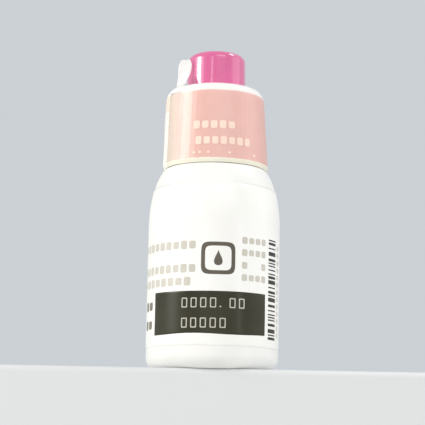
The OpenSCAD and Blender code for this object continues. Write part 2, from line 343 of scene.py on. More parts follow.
# a clear shrink film with ink from low upwards; colours and covers are for the ink, the foot and the top
def inkedFilm(name, colors, covers, low, **constants):
    material, tree, shader = principled(name, **constants)
    inked = addNode(tree, "ShaderNodeGroup", {"node_tree": inkGroup}, Low=low * mm,
                    High=filmPrint["high"] * mm)
    for part, color, cover in zip(("Ink", "Foot", "Top"), colors, covers):
        inked.inputs[part].default_value = linear(*color)
        inked.inputs[part + " cover"].default_value = cover
    # the paler colour beside the strip is a painted sheen
    inked.inputs["Painted sheen ink"].default_value = linear(*sheenSalmon)
    bump = addNode(tree, "ShaderNodeBump", None, Strength=1.0, Distance=6e-6, Height=noiseNode(tree, 700))
    tree.links.new(inked.outputs["Color"], shader.inputs["Base Color"])
    tree.links.new(inked.outputs["Cover"], shader.inputs["Alpha"])
    tree.links.new(bump.outputs["Normal"], shader.inputs["Normal"])
    return material


bottlePlastic = moulded("bottlePlastic", (246, 246, 243), (241, 242, 239), 0.30, 5, IOR=1.52)
plugPlastic = moulded("plugPlastic", (240, 240, 235), (232, 233, 228), 0.42, 8, IOR=1.51)
collarPlastic = moulded("collarPlastic", (248, 247, 243), (244, 243, 238), 0.28, 5, IOR=1.5)
domePlastic = moulded("domePlastic", (222, 92, 152), (215, 86, 144), 0.22, 2, IOR=1.6, Coat_Weight=1.0,
                      Coat_Roughness=0.12, Coat_IOR=1.6)
labelFilm = moulded("labelFilm", (249, 249, 246), (247, 247, 243), 0.22, 2, IOR=1.5)
tabFilm = moulded("tabFilm", (250, 249, 247), (247, 246, 243), 0.34, 4, IOR=1.5)
labelInk = moulded("labelInk", (118, 111, 97), (128, 121, 108), 0.34, 2, IOR=1.5)
paleInk = moulded("paleInk", (203, 199, 187), (211, 207, 196), 0.34, 2, IOR=1.5)
markInk = moulded("markInk", (92, 85, 72), (99, 92, 79), 0.30, 2, IOR=1.5)
panelInk = moulded("panelInk", (50, 49, 32), (56, 54, 36), 0.22, 2, IOR=1.4)
stripeInk = moulded("stripeInk", (40, 39, 29), (47, 45, 34), 0.34, 2, IOR=1.5)
fieldInk = moulded("fieldInk", (205, 203, 190), (196, 194, 180), 0.34, 2, IOR=1.5)
filmWordInk = moulded("filmWordInk", (252, 226, 210), (250, 221, 204), 0.28, 2, IOR=1.5)
# the sleeve's cream foot colour and its high cover there are a painted shade
sleeveFilm = inkedFilm("sleeveFilm", (salmon, footShadeCream, clearTop), (0.66, 0.9, 0.02), filmPrint["low"],
                       Roughness=0.4, IOR=1.75, Coat_Weight=1.0, Coat_Roughness=0.4, Coat_IOR=1.75)
stripFilm = inkedFilm("stripFilm", (salmon, (251, 248, 240), (251, 250, 246)), (1, 1, 1),
                      filmPrint["stripLow"], Roughness=0.26, IOR=1.6)
water, _, _ = principled("water", Base_Color=(0.93, 0.98, 1, 1), Roughness=0.02, IOR=1.334,
                         Transmission_Weight=1.0)
print("stage 2: materials made")


# the bottle
bottle = {"wall": 0.9, "heel": 2.5, "footWidth": 0.9, "pushUp": 1.2, "ledge": 38.2, "shoulder": 11.2,
          "fullness": 0.93, "ledgeInset": 0.25, "neck": 6.9, "bore": 5.5, "columns": 192,
          "partingRise": 0.035, "partingWidth": 0.16, "partingColumns": (0.5, 0.9, 1.4), "scarRise": 0.09,
          "scarWidth": 0.3, "scarLength": 6.4, "scarFade": 0.8}
shoulderFoot = bottle["ledge"] - bottle["shoulder"]
ledgeRadius = ribCrest(bottle["ledge"]) - bottle["ledgeInset"]


def shoulderRadius(height):  # part of an ellipse that starts upright at the body
    share = bottle["fullness"] * np.maximum(0, height - shoulderFoot) / bottle["shoulder"]
    bulge = (bodyRadius - ledgeRadius) / (1 - math.sqrt(1 - bottle["fullness"] ** 2))
    return bodyRadius - bulge * (1 - np.sqrt(1 - share * share))


# the bottle's wall in section, turned round its axis, with the thread added on the neck
def makeBottle():
    wall, heel, ledge, neck, bore = (bottle[key] for key in ("wall", "heel", "ledge", "neck", "bore"))
    footRadius = bodyRadius - heel
    pushRadius = footRadius - bottle["footWidth"]
    innerTop = ledge - wall
    out = np.linspace(0, pushRadius, 26)
    pushUp = bottle["pushUp"] * (1 - (out / pushRadius) ** 2)
    body = np.linspace(heel + 0.3, shoulderFoot, 44)
    rise = np.linspace(shoulderFoot, ledge - 0.12, 40)
    fall = np.linspace(innerTop - 0.8, heel, 50)
    # the section runs from the middle of the base up the outside, round the neck and down the inside
    outer = np.concatenate([
        np.stack([out, pushUp], -1), circlePart(footRadius, heel, heel, -90, 0, 16),
        np.stack([np.full_like(body, bodyRadius), body], -1), np.stack([shoulderRadius(rise), rise], -1)])
    neckPart = outline([
        (ledgeRadius - 0.1, ledge, 0), (neck, ledge, 0.5), (neck, neckTop, 0.25), (bore, neckTop, 0.25),
        (bore, innerTop, 0.6), (ledgeRadius - wall - 0.3, innerTop, 0.3),
        (ledgeRadius - wall, innerTop - 0.6, 0)], closed=False, spacing=0.13)
    inner = np.concatenate([
        np.stack([shoulderRadius(fall + wall * 0.4) - wall, fall], -1),
        circlePart(footRadius, heel, heel - wall, 0, -90, 12), np.stack([out, pushUp + wall], -1)[::-1]])
    points = np.concatenate([outer, neckPart, inner])
    row, radius, height = np.arange(len(points))[:, None], points[:, :1], points[:, 1:2]
    near = np.radians(bottle["partingColumns"])
    angles = np.sort(np.concatenate([fullTurn(bottle["columns"]), near, tau - near, math.pi - near,
                                     math.pi + near]))
    onNeck = np.abs(radius - neck) < 1e-6
    climb = threadRise(angles[None], height, thread["neckStart"]) * onNeck
    # the two halves of the mould leave a fine line up both sides, where no label covers it
    bare = (row < len(outer)) & (radius > footRadius + 0.3)
    bare = bare & ((height < labelFoot - 0.2) | (height > labelHead + 0.1))
    side = np.abs(np.sin(angles))[None] * radius
    parting = bottle["partingRise"] * np.exp(-(side / bottle["partingWidth"]) ** 2) * bare
    grid = turned(points, angles, climb + parting)
    # the pinched end of the blown tube leaves a low scar across the base
    across, along = np.abs(grid[..., 1]), np.abs(grid[..., 0])
    scar = np.exp(-(across / bottle["scarWidth"]) ** 2)
    scar *= softStep((bottle["scarLength"] - along) / bottle["scarFade"])
    grid[..., 2] -= bottle["scarRise"] * scar * (row < len(out))
    return seat(gridObject("bottleShell", grid, bottlePlastic, ring=True), "bottle", "bottle_plastic",
                "bottle_shell")


makeBottle()

# the dropper plug
plug = {"skirt": 5.48, "skirtBore": 4.68, "flangeFoot": 50.0, "flangeTop": 51.2, "tipFoot": 3.6, "tip": 1.7,
        "hole": 0.5, "columns": 160}


# the plug's section, turned round its axis: skirt, flange and a tapered tip with the drop hole
def makePlug():
    skirt, bore, hole = plug["skirt"], plug["skirtBore"], plug["hole"]
    points = outline([
        (bore, plugFoot, 0.08), (skirt - 0.3, plugFoot, 0.1), (skirt, plugFoot + 0.6, 0.3),
        (skirt, plug["flangeFoot"], 0), (plugRadius, plug["flangeFoot"], 0.15),
        (plugRadius, plug["flangeTop"], 0.3), (plug["tipFoot"], plug["flangeTop"], 0.35),
        (plug["tip"], tipTop, 0.55), (hole, tipTop, 0.12), (hole, tipTop - 2, 0.3),
        (plug["tipFoot"] - 0.8, plug["flangeTop"], 0.5), (bore, plug["flangeFoot"] - 0.6, 0.5)], spacing=0.5)
    grid = turned(points, fullTurn(plug["columns"]))
    return seat(gridObject("nozzlePlug", grid, plugPlastic, ring=True), "bottle", "plug_plastic",
                "nozzle_plug")


makePlug()

# the coloured half of the cap: a dome with a flange and a sealing pin
dome = {"radius": 5.57, "footRadius": 5.7, "offCentre": 0.13, "edge": 1.4, "crownSlope": 13,
        "flangeTop": 52.4, "bore": 4.45, "roof": 59.4, "boreRound": 1.0, "pin": 0.35, "pinFoot": 57.9,
        "gateRadius": 0.55, "gateFade": 0.3, "gateDepth": 0.06, "columns": 192}


# the dome's section, turned round its axis and then moved off centre
def makeDome():
    edge, flangeTop, bore, roof = (dome[key] for key in ("edge", "flangeTop", "bore", "roof"))
    slope = math.radians(dome["crownSlope"])
    edgeX = dome["radius"] - edge
    crownRadius = edgeX + edge * math.sin(slope)
    crownHeight = crownRadius * math.tan(slope) / 2
    edgeZ = domeTop - crownHeight - edge * math.cos(slope)
    # the crown is a low paraboloid, with the sunk mark of the mould's gate in its middle
    out = np.linspace(0, crownRadius, 22)
    crown = domeTop - crownHeight * (out / crownRadius) ** 2
    crown -= dome["gateDepth"] * (1 - softStep((out - dome["gateRadius"]) / dome["gateFade"] + 0.5))
    rounding = circlePart(edgeX, edgeZ, edge, 90 - dome["crownSlope"], 0, 18)
    lower = outline([
        (dome["radius"], edgeZ, 0), (dome["footRadius"], flangeTop, 0.1), (flangeRadius, flangeTop, 0.15),
        (flangeRadius, flangeFoot, 0.15), (bore, flangeFoot, 0.15), (bore, roof, dome["boreRound"]),
        (dome["pin"], roof, 0.15), (dome["pin"], dome["pinFoot"], 0.12), (0, dome["pinFoot"], 0)],
        closed=False, spacing=0.45)
    points = np.concatenate([np.stack([out, crown], -1)[:-1], rounding[:-1], lower])
    grid = turned(points, fullTurn(dome["columns"]))
    grid[..., 0] -= dome["offCentre"]
    return seat(gridObject("capDome", grid, domePlastic, ring=True), "cap_top", "dome_plastic", "cap_dome")


makeDome()

# the white half of the cap: a ribbed collar with a thread inside
collar = {"bore": 7.9, "opening": 5.87, "lip": 52.5, "chamber": 7.55, "beadTop": 51.2, "bead": 7.05,
          "ribHeight": 0.2, "ribEnd": 51.8, "ribFade": 0.5, "stepsPerRib": 8}


def ribShape(angles):  # 1 on a crest and 0 between two ribs, with soft flanks
    return softStep((np.cos(cone["ribs"] * angles) + 0.3) / 0.9)


# the collar's section, turned round its axis, with ribs added on its side and the thread on its bore
def makeCollar():
    ribHeight, bore, bead, beadTop = (collar[key] for key in ("ribHeight", "bore", "bead", "beadTop"))
    opening, chamber, lip = collar["opening"], collar["chamber"], collar["lip"]
    topX = cone["edgeRadius"] - cone["shoulderRound"]
    side = outline([(bore + 0.1, collarFoot, 0.1), (ribCrest(collarFoot) - ribHeight, collarFoot, 0.15),
                    (ribCrest(collar["ribEnd"]) - ribHeight, collar["ribEnd"], 0)], closed=False, spacing=0.4)
    inside = outline([
        (topX - 0.05, collarTop, 0), (opening, collarTop, 0.4), (opening, lip, 0.1), (chamber, lip, 0.1),
        (chamber, beadTop, 0.1), (bead, beadTop - 0.35, 0.2), (bead, beadTop - 0.65, 0.2),
        (bore, beadTop - 1.5, 0.2), (bore, collarFoot + 0.1, 0)], closed=False, spacing=0.2)
    shoulder = circlePart(topX, cone["edgeHeight"], cone["shoulderRound"], 0, 90, 14)
    points = np.concatenate([side, shoulder, inside])
    angles = fullTurn(cone["ribs"] * collar["stepsPerRib"])
    radius, height = points[:, :1], points[:, 1:2]
    onSide = np.abs(radius - ribCrest(height) + ribHeight) < 0.01
    lift = np.clip((height - collarFoot - 0.15) / collar["ribFade"], 0, 1)
    ribs = ribHeight * ribShape(angles)[None] * lift * onSide
    climb = threadRise(angles[None], height, thread["capStart"]) * (np.abs(radius - bore) < 1e-6)
    grid = turned(points, angles, ribs - climb)
    return seat(gridObject("screwCollar", grid, collarPlastic, ring=True, loop=True), "collar",
                "collar_plastic", "screw_collar")


makeCollar()

# the shrink film, its tear strip and the perforations between them
sleeve = {"gap": 0.08, "wall": 0.12, "wrap": 62, "tuckRadius": 9.71, "tuckHeight": 0.8, "hem": 0.13,
          "sag": 0.009, "ripple": 0.012, "pleatRise": 0.05, "seamAt": 168, "seamWidth": 22, "seamRise": 0.05,
          "edgeWave": 0.07, "bulge": 0.42, "bulgeStart": -150, "bulgeEnd": -38, "bulgeFoot": 39,
          "bulgeClimb": 12, "rows": 46, "wrapRows": 14, "columns": 541}
strip = {"width": 2.9, "slit": 0.05, "wall": 0.24, "crown": 0.04, "columns": 25}
stripOuter = ribCrest(filmFoot) + sleeve["gap"] + sleeve["wall"]
halfStrip = math.degrees(math.asin(strip["width"] / 2 / stripOuter))
halfOpen = math.degrees(math.asin((strip["width"] / 2 + strip["slit"]) / stripOuter))


# the sleeve's line in section, from its foot up the cone and round the collar's shoulder: radius, height
# and how far the point is drawn over the shoulder. Its foot is tucked in towards the bottle's ledge.
def sleeveLine(lift):
    foot = filmFoot - sleeve["hem"]
    share = np.linspace(0, 1, sleeve["rows"], endpoint=False) ** 1.4  # closer rows near the foot
    upright = foot + (cone["edgeHeight"] - foot) * share
    turn = np.radians(np.linspace(0, sleeve["wrap"], sleeve["wrapRows"]))
    reach = cone["shoulderRound"] + lift
    topX = cone["edgeRadius"] - cone["shoulderRound"]
    side = ribCrest(upright) + lift
    side += (sleeve["tuckRadius"] - side) * (1 - softStep((upright - foot) / sleeve["tuckHeight"]))
    radius = np.concatenate([side, topX + reach * np.cos(turn)])
    height = np.concatenate([upright, cone["edgeHeight"] + reach * np.sin(turn)])
    wrapped = np.concatenate([0 * upright, turn / turn[-1]])
    return radius[:, None], height[:, None], wrapped[:, None]


# the film stands off the collar round the strip, where the tab has pulled at it
def filmBulge(azimuth, height, wrapped=0):
    window = softStep((sleeve["bulgeEnd"] - azimuth) / 40) * softStep((azimuth - sleeve["bulgeStart"]) / 50)
    climb = softStep((height - sleeve["bulgeFoot"]) / sleeve["bulgeClimb"])
    return sleeve["bulge"] * window * climb * (1 - wrapped)


# the sleeve's line, carried round the axis from one side of the strip to the other
def makeFilm():
    radius, height, wrapped = sleeveLine(sleeve["gap"] + sleeve["wall"] / 2)
    azimuth = np.linspace(stripAzimuth + halfOpen, stripAzimuth + 360 - halfOpen, sleeve["columns"])[None]
    turn = np.radians(azimuth)
    # the film sags a little between the ribs, and has slow ripples and small pleats over the shoulder
    onRibs = softStep((height - collarFoot - 0.4) / 0.8)
    onRibs = onRibs * (1 - softStep((height - collar["ribEnd"] + 0.6) / 0.6))
    sag = -sleeve["sag"] * (1 - ribShape(turn - math.pi / 2)) * onRibs
    ripple = sleeve["ripple"] * np.sin(3 * turn + 0.35 * height) * np.sin(0.9 * height + 5 * turn)
    folds = np.maximum(0, np.sin(31 * turn) + 0.4 * np.sin(13 * turn + 1))
    pleat = sleeve["pleatRise"] * wrapped ** 1.5 * folds
    past = azimuth - sleeve["seamAt"]
    seam = sleeve["seamRise"] * softStep(past / 1.2) * (1 - softStep((past - sleeve["seamWidth"]) / 3))
    lowEdge = 0.3 * sleeve["edgeWave"] * (1 + np.sin(7 * turn) * np.sin(3 * turn + 1))
    lowEdge = lowEdge * (1 - softStep((height - filmFoot) / 1.5))
    topEdge = sleeve["edgeWave"] * np.sin(5 * turn + 2) * np.sin(2 * turn) * wrapped ** 3
    rise = sag + ripple + pleat + seam + topEdge + filmBulge((azimuth + 180) % 360 - 180, height, wrapped)
    grid = aroundFront(azimuth, height + lowEdge - 0.3 * topEdge, radius + rise)
    film = gridObject("shrinkFilm", grid, sleeveFilm)
    thicken(film, sleeve["wall"], 0)
    return seat(film, "film", "printed_film", "shrink_film")


# the same line over the few degrees between the perforations, a little crowned
def makeStrip():
    radius, height, wrapped = sleeveLine(sleeve["gap"] + strip["wall"] / 2)
    across = np.linspace(-1, 1, strip["columns"])[None]
    azimuth = stripAzimuth + halfStrip * across
    sunk = strip["crown"] * across ** 4  # its middle stands a little higher than its edges
    grid = aroundFront(azimuth, height, radius - sunk + filmBulge(azimuth, height, wrapped))
    band = gridObject("tearStrip", grid, stripFilm)
    thicken(band, strip["wall"], 0)
    return seat(band, "strip", "white_film", "tear_strip")


tongue = {"foot": 4, "head": 52, "wall": 0.1, "beyond": 9.2, "higher": 9, "columns": 90, "rows": 24}


# the strip's tongue: a band that lies on the film's upper part, from the strip to the foot of the tab,
# and reaches a little higher beside the tab
def makeTongue():
    end = tab["azimuth"] + tongue["beyond"]
    azimuth = np.linspace(stripAzimuth, end, tongue["columns"])[None]
    besideTab = softStep((azimuth - tab["azimuth"] + tongue["beyond"] + 4) / 4)
    share = np.linspace(0, 1, tongue["rows"])[:, None]
    climb = tongue["head"] - tongue["foot"] + tongue["higher"] * besideTab
    turn = np.radians(tongue["foot"] + share * climb)
    rise = softStep(share / 0.25) * softStep((end - azimuth) / 2.5)  # its edges come down to the collar
    reach = cone["shoulderRound"] + rise * (sleeve["gap"] + sleeve["wall"] + tongue["wall"] / 2 + 0.02)
    radius = cone["edgeRadius"] - cone["shoulderRound"] + reach * np.cos(turn)
    height = cone["edgeHeight"] + reach * np.sin(turn)
    radius += rise * filmBulge(azimuth, height, turn / math.radians(sleeve["wrap"]))
    band = gridObject("stripTongue", aroundFront(azimuth, height, radius), stripFilm)
    thicken(band, tongue["wall"], 0)
    return seat(band, "strip", "white_film")


# the rings of a filled patch, from its middle out over its edge and back underneath: how far out each one
# lies, and how high
filledOut = np.array([[0, 0.35, 0.7, 0.95, 1, 1, 0.6, 0]]).T
filledUp = np.array([[1, 1, 1, 1, 0.8, 0, 0, 0]]).T
# the rings of a hollow one: up outside, over its top and down inside
hollowOut, hollowUp = np.array([[1, 1, 0, 0]]).T, np.array([[0, 1, 1, 0]]).T
patchDepth = 0.01  # a patch starts this far inside the surface that it lies on


# small raised patches with a superellipse outline, |x|^n + |y|^n = 1. Each row is azimuth in degrees and
# height of a patch's middle, and its width and height in millimetres; its face follows radiusAt. hollow is
# the width of the frame that is left.
def patches(name, rows, radiusAt, rise, power, material, columns=28, hollow=None):
    rows = np.array(rows, float)[:, :, None, None]
    turn = fullTurn(columns)[None, :]
    reach = (np.abs(np.cos(turn)) ** power + np.abs(np.sin(turn)) ** power) ** (-1 / power)
    across, upward = reach * np.cos(turn), reach * np.sin(turn)
    if hollow:
        lift = hollowUp
        wide = (rows[:, 2] / 2 - hollow * (1 - hollowOut)) * across
        tall = (rows[:, 3] / 2 - hollow * (1 - hollowOut)) * upward
    else:
        lift = filledUp
        wide, tall = rows[:, 2] / 2 * filledOut * across, rows[:, 3] / 2 * filledOut * upward
    height = rows[:, 1] + tall
    radius = radiusAt(height)
    azimuth = rows[:, 0] + np.degrees(wide / radius)
    grid = aroundFront(azimuth, height, radius - patchDepth + lift * (patchDepth + rise))
    return gridObject(name, grid, material, ring=True, loop=bool(hollow))


nibs = {"start": 0.9, "pitch": 1.0, "wide": 0.25, "tall": 0.32, "lift": 0.03, "rise": 0.08, "power": 4}


def nibFace(height):  # radius that the nibs beside the strip stand on
    return ribCrest(height) + sleeve["gap"] + nibs["lift"] + filmBulge(stripAzimuth, height)


def makeNibs():
    heights = np.arange(filmFoot + nibs["start"], cone["edgeHeight"], nibs["pitch"])
    aside = (halfStrip + halfOpen) / 2
    rows = [(stripAzimuth + side * aside, z, nibs["wide"], nibs["tall"]) for side in (-1, 1) for z in heights]
    made = patches("perforationNibs", rows, nibFace, nibs["rise"], nibs["power"], sleeveFilm, 12)
    return seat(made, "film", "printed_film")


# the pull tab. left and right are shares of its height and the distances of its edges there; top is places
# across it, from -1 to 1, and its heights there.
tab = {"azimuth": -57.5, "radius": 8.1, "foot": 54.06, "wall": 0.24, "twist": 66, "twistEnd": 0.6,
       "lean": 1.1, "curl": 0.12,
       "left": ([0, 0.13, 0.29, 0.45, 0.69, 0.86, 1], [-0.83, -0.73, -0.64, -0.62, -0.59, -0.48, -0.18]),
       "right": ([0, 0.14, 0.3, 0.48, 0.59, 0.76, 0.91, 1], [0.7, 0.98, 1.3, 1.59, 1.71, 1.85, 1.9, 1.87]),
       "top": ([-1, -0.78, -0.48, -0.23, 0.03, 0.28, 0.48, 0.7, 0.87, 1],
               [4.88, 5.13, 5.22, 5.18, 5.15, 5.26, 5.34, 5.24, 4.98, 4.58])}


# a leaf: across goes over it and up goes from its foot to its edge. As it rises it turns towards the front
# and leans towards the dome. Its left and right edges are smooth lines through a few distances seen from the
# front, so the leaf is wider than they are where it stands turned away; its top is a line with two lobes.
def makeTab():
    across, up = np.meshgrid(np.linspace(-1, 1, 49), np.linspace(0, 1, 49))
    left, right = lineThrough(up, *tab["left"]), lineThrough(up, *tab["right"])
    height = up * lineThrough(across, *tab["top"])
    place = np.radians(tab["azimuth"])
    turn = np.radians(tab["twist"]) * softStep(up / tab["twistEnd"])
    lean = tab["lean"] * softStep(up / 0.9)
    width = (left + (right - left) * (across + 1) / 2 + lean * math.sin(place)) / np.cos(place + turn)
    curl = tab["curl"] * (across ** 2 - 0.4) * softStep(up / 0.4)
    outward, sideways = curl * np.cos(turn) - width * np.sin(turn), width * np.cos(turn) + curl * np.sin(turn)
    away = tab["radius"] + outward - lean
    x = away * math.sin(place) + sideways * math.cos(place)
    y = -away * math.cos(place) + sideways * math.sin(place)
    leaf = gridObject("pullTab", np.stack([x, y, tab["foot"] + height], -1), tabFilm)
    thicken(leaf, tab["wall"], 0)
    bevel = leaf.modifiers.new("soft edge", "BEVEL")
    bevel.width = 0.05 * mm
    bevel.segments = 2
    return seat(leaf, "tab", "white_film", "pull_tab")


makeFilm()
makeStrip()
makeTongue()
makeNibs()
makeTab()

# the label
label = {"wall": 0.07, "overlap": 14, "lap": 0.075, "press": 0.066, "columns": 260}


def bodyLine(height):  # radius of the bottle's outside under the label
    return np.where(height > shoulderFoot, shoulderRadius(height), bodyRadius)


def labelFace(height):  # radius of the label's outside
    return bodyLine(height) + labelRadius - bodyRadius


# a sheet along the bottle's outside, whose ends overlap at the back; its upper and lower edges are pressed
# down on the bottle
def makeLabel():
    height = labelFoot + (labelHead - labelFoot) * np.linspace(0, 1, 80)[:, None] ** 1.3
    azimuth = np.linspace(180 - label["overlap"] / 2, 540 + label["overlap"] / 2, label["columns"])[None]
    lap = label["lap"] * softStep((azimuth - 540 + label["overlap"]) / (label["overlap"] / 3))
    slack = 0.006 * np.sin(np.radians(azimuth * 5)) * np.sin(height * 0.8)
    radius = labelFace(height) - label["wall"] / 2 + lap + slack
    radius -= label["press"] * (1 - softStep(np.minimum(height - labelFoot, labelHead - height) / 0.4))
    sheet = gridObject("bodyLabel", aroundFront(azimuth, height, radius), labelFilm)
    thicken(sheet, label["wall"], 0)
    return seat(sheet, "bottle", "label_film", "body_label")


makeLabel()
print("stage 3: bottle, cap, film and label made")

# the dark panel on the label
panel = {"left": -58.7, "right": 50.2, "low": 6.0, "high": 13.85, "rise": 0.014, "dip": 0.02, "rim": 0.03,
         "wall": 0.02}


def panelFace(height):  # radius of the panel's outside
    return 0 * height + labelRadius + panel["rise"]


def makePanel():  # its rim dips into the label, so that no edge stands up
    left, right, low, high = (panel[key] for key in ("left", "right", "low", "high"))
    share = np.concatenate([[0, 0.004, 0.008], np.linspace(0.02, 0.98, 120), [0.992, 0.996, 1]])
    azimuth = (left + (right - left) * share)[None]
    height = np.concatenate([low + (high - low) * share[::6], [high - panel["rim"], high]])[:, None]
    fromSides = np.minimum(azimuth - left, right - azimuth) * 0.2  # degrees to millimetres, roughly
    inset = np.minimum(np.minimum(height - low, high - height), fromSides)
    dip = panel["dip"] * (1 - softStep(inset / panel["rim"]))
    sheet = gridObject("datePanel", aroundFront(azimuth, height, panelFace(height) - dip), panelInk)
    thicken(sheet, panel["wall"], -1)
    return seat(sheet, "bottle", "label_film")


# blank places for a date and a batch: hollow rounded fields, and a dot
fields = {"first": -24.5, "pitch": 8.2, "topRow": 11.7, "topPlaces": (0, 1, 2, 3, 5, 6), "lowRow": 8.05,
          "lowPlaces": (0, 1, 2, 3, 4), "wide": 1.12, "tall": 1.8, "stroke": 0.19, "dotAt": 3.75,
          "dot": 0.3, "rise": 0.02}


def makeFields():
    first, pitch, rise = fields["first"], fields["pitch"], fields["rise"]
    rows = [(first + pitch * k, fields[line + "Row"], fields["wide"], fields["tall"])
            for line in ("top", "low") for k in fields[line + "Places"]]
    boxes = patches("blankFields", rows, panelFace, rise, 16, fieldInk, 44, fields["stroke"])
    seat(boxes, "bottle", "label_film")
    dotHeight = fields["topRow"] - fields["tall"] / 2 + 0.2
    dotRow = [(first + pitch * fields["dotAt"], dotHeight, fields["dot"], fields["dot"])]
    seat(patches("fieldDot", dotRow, panelFace, rise, 2, fieldInk, 20), "bottle", "label_film")


# a line of plain blocks on a surface of the given radius, from one azimuth to another; skip names the
# blocks that it leaves out. The blocks are even, and their heights vary a little.
def blockLine(start, end, height, pitch, tall, radius, skip=()):
    count = max(1, round((end - start) / math.degrees(pitch / radius)))
    step = (end - start) / count
    wide = math.radians(step) * radius * 0.76
    return [(start + step * (k + 0.5), height, wide, tall * (0.93 + 0.07 * math.cos(2.3 * k)))
            for k in range(count) if k not in skip]


# each line is the azimuth of its start and of its end, its height, and the blocks that it leaves out
wordLines = {
    "left": {"lines": [(-92, -14.5, 22.3, ()), (-92, -14.5, 18.0, ()), (-92, -18.5, 15.6, ())],
             "pitch": 1.72, "tall": 1.6},
    "right": {"lines": [(23.5, 50.5, 23.35, ()), (23.5, 50.5, 21.1, ()), (23.5, 50.5, 18.75, (1, 2)),
                        (23.5, 50.5, 16.5, ())],
              "pitch": 1.47, "tall": 1.25},
    "side": {"lines": [(-80, -61.8, 11.5, ()), (-80, -62.6, 8.0, ())], "pitch": 1.9, "tall": 1.75},
    "rise": 0.012,
}


def blockRows(group):
    group = wordLines[group]
    return [row for start, end, height, skip in group["lines"]
            for row in blockLine(start, end, height, group["pitch"], group["tall"], labelRadius, skip)]


def makeWords():
    rise = wordLines["rise"]
    words = patches("labelLines", blockRows("left") + blockRows("right"), labelFace, rise, 5, paleInk)
    seat(words, "bottle", "label_film")
    seat(patches("sideLines", blockRows("side"), labelFace, rise, 4, labelInk, 24), "bottle", "label_film")


# a plain sign: a rounded square ring with a drop in it
sign = {"azimuth": 3.8, "height": 19.85, "wide": 6.3, "tall": 5.95, "stroke": 0.72, "rise": 0.014,
        "drop": 2.9, "dropWidth": 0.42, "dropAbove": 0.1, "dropRise": 0.0138}


def makeSign():
    ring = patches("signRing", [(sign["azimuth"], sign["height"], sign["wide"], sign["tall"])], labelFace,
                   sign["rise"], 5.5, markInk, 96, sign["stroke"])
    seat(ring, "bottle", "label_film")
    # the drop: x = sin t sin²(t/2), z = cos t, filled in towards its middle
    turn = fullTurn(48)[None, :]
    wide = filledOut * np.sin(turn) * np.sin(turn / 2) ** 2 * sign["drop"] * sign["dropWidth"]
    height = sign["height"] + sign["dropAbove"] + filledOut * np.cos(turn) * sign["drop"] / 2
    radius = labelFace(height)
    azimuth = sign["azimuth"] + np.degrees(wide / radius)
    grid = aroundFront(azimuth, height, radius - patchDepth + filledUp * (patchDepth + sign["dropRise"]))
    seat(gridObject("signDrop", grid, markInk, ring=True), "bottle", "label_film")


# stripes of mixed widths that spell nothing, and a column of plain blocks beside them
stripes = {"left": 54.3, "right": 67.2, "low": 5.6, "high": 24.2, "count": 24, "rise": 0.012,
           "sideAt": 73, "sideWide": 1.0, "sideTall": 0.9, "sidePitch": 1.36}


# bars are 1 to 3 units wide and gaps 1 or 2, in a mixed order that comes from remainders
def makeStripes():
    bars = [1 + (13 * k * k + 7 * k) % 11 % 4 for k in range(stripes["count"])]
    gaps = [1 + (5 * k + 2 * k * k) % 13 % 2 for k in range(stripes["count"])]
    unit = (stripes["high"] - stripes["low"]) / (sum(bars) + sum(gaps[:-1]))
    middle = (stripes["left"] + stripes["right"]) / 2
    wide = math.radians(stripes["right"] - stripes["left"]) * labelRadius
    rows, z = [], stripes["high"]
    for bar, gap in zip(bars, gaps):
        rows.append((middle, z - bar * unit / 2, wide, bar * unit))
        z -= (bar + gap) * unit
    seat(patches("stripes", rows, labelFace, stripes["rise"], 14, stripeInk, 32), "bottle", "label_film")
    heights = np.arange(stripes["low"] + 1, stripes["high"] - 0.4, stripes["sidePitch"])
    rows = [(stripes["sideAt"], z, stripes["sideWide"], stripes["sideTall"]) for z in heights]
    seat(patches("stripeBlocks", rows, labelFace, stripes["rise"], 3.4, paleInk, 20), "bottle", "label_film")


makePanel()
makeFields()
makeWords()
makeSign()
makeStripes()

# the lines of blocks and the specks on the film
filmWords = {"lines": [(-27.3, 22.5, 45.4), (-24, 41, 42.35)], "pitch": 1.5, "tall": 1.6, "rise": 0.012,
             "specks": (-24, -17.5, -8, 14.8, 46), "speckHeight": 40.05, "speckWide": 0.55, "speckTall": 0.44}


def filmFace(height):  # radius of the film's outside over its highest ripples
    return ribCrest(height) + sleeve["gap"] + sleeve["wall"] + sleeve["ripple"]


def makeFilmWords():
    rows = []
    for start, end, height in filmWords["lines"]:
        rows += blockLine(start, end, height, filmWords["pitch"], filmWords["tall"], ribCrest(height))
    rows += [(azimuth, filmWords["speckHeight"], filmWords["speckWide"], filmWords["speckTall"])
             for azimuth in filmWords["specks"]]
    words = patches("filmLines", rows, filmFace, filmWords["rise"], 5, filmWordInk)
    seat(words, "film", "printed_film")


makeFilmWords()

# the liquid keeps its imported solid
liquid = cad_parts["solution"]
liquid.data.materials.clear()
liquid.data.materials.append(water)
print("stage 4: prints made")

# the slab that the bottle stands on, close to the slab's front edge
stand = {"front": -10.6, "back": 700, "side": 700, "down": -300, "edge": 1.0}


def makeStand():
    side, front, back, down = stand["side"], stand["front"], stand["back"], stand["down"]
    around = ((-side, front), (side, front), (side, back), (-side, back))
    corners = [(x, y, z) for z in (down, 0) for x, y in around]
    faces = [(0, 3, 2, 1), (4, 5, 6, 7), (0, 1, 5, 4), (1, 2, 6, 5), (2, 3, 7, 6), (3, 0, 4, 7)]
    mesh = bpy.data.meshes.new("stand")
    mesh.from_pydata([tuple(c * mm for c in corner) for corner in corners], [], faces)
    material, _, _ = principled("standFinish", Base_Color=linear(222, 224, 226), Roughness=0.55)
    mesh.materials.append(material)
    slab = bpy.data.objects.new("stand", mesh)
    bpy.context.scene.collection.objects.link(slab)
    bevel = slab.modifiers.new("edge", "BEVEL")
    bevel.width = stand["edge"] * mm
    bevel.segments = 4


# the fill lights the object, and the backdrop is what the camera, reflections and clear pieces show
studio = {"fill": (1, 0.99, 0.975, 1), "fillStrength": 0.71, "backdrop": (0.60, 0.635, 0.67, 1)}


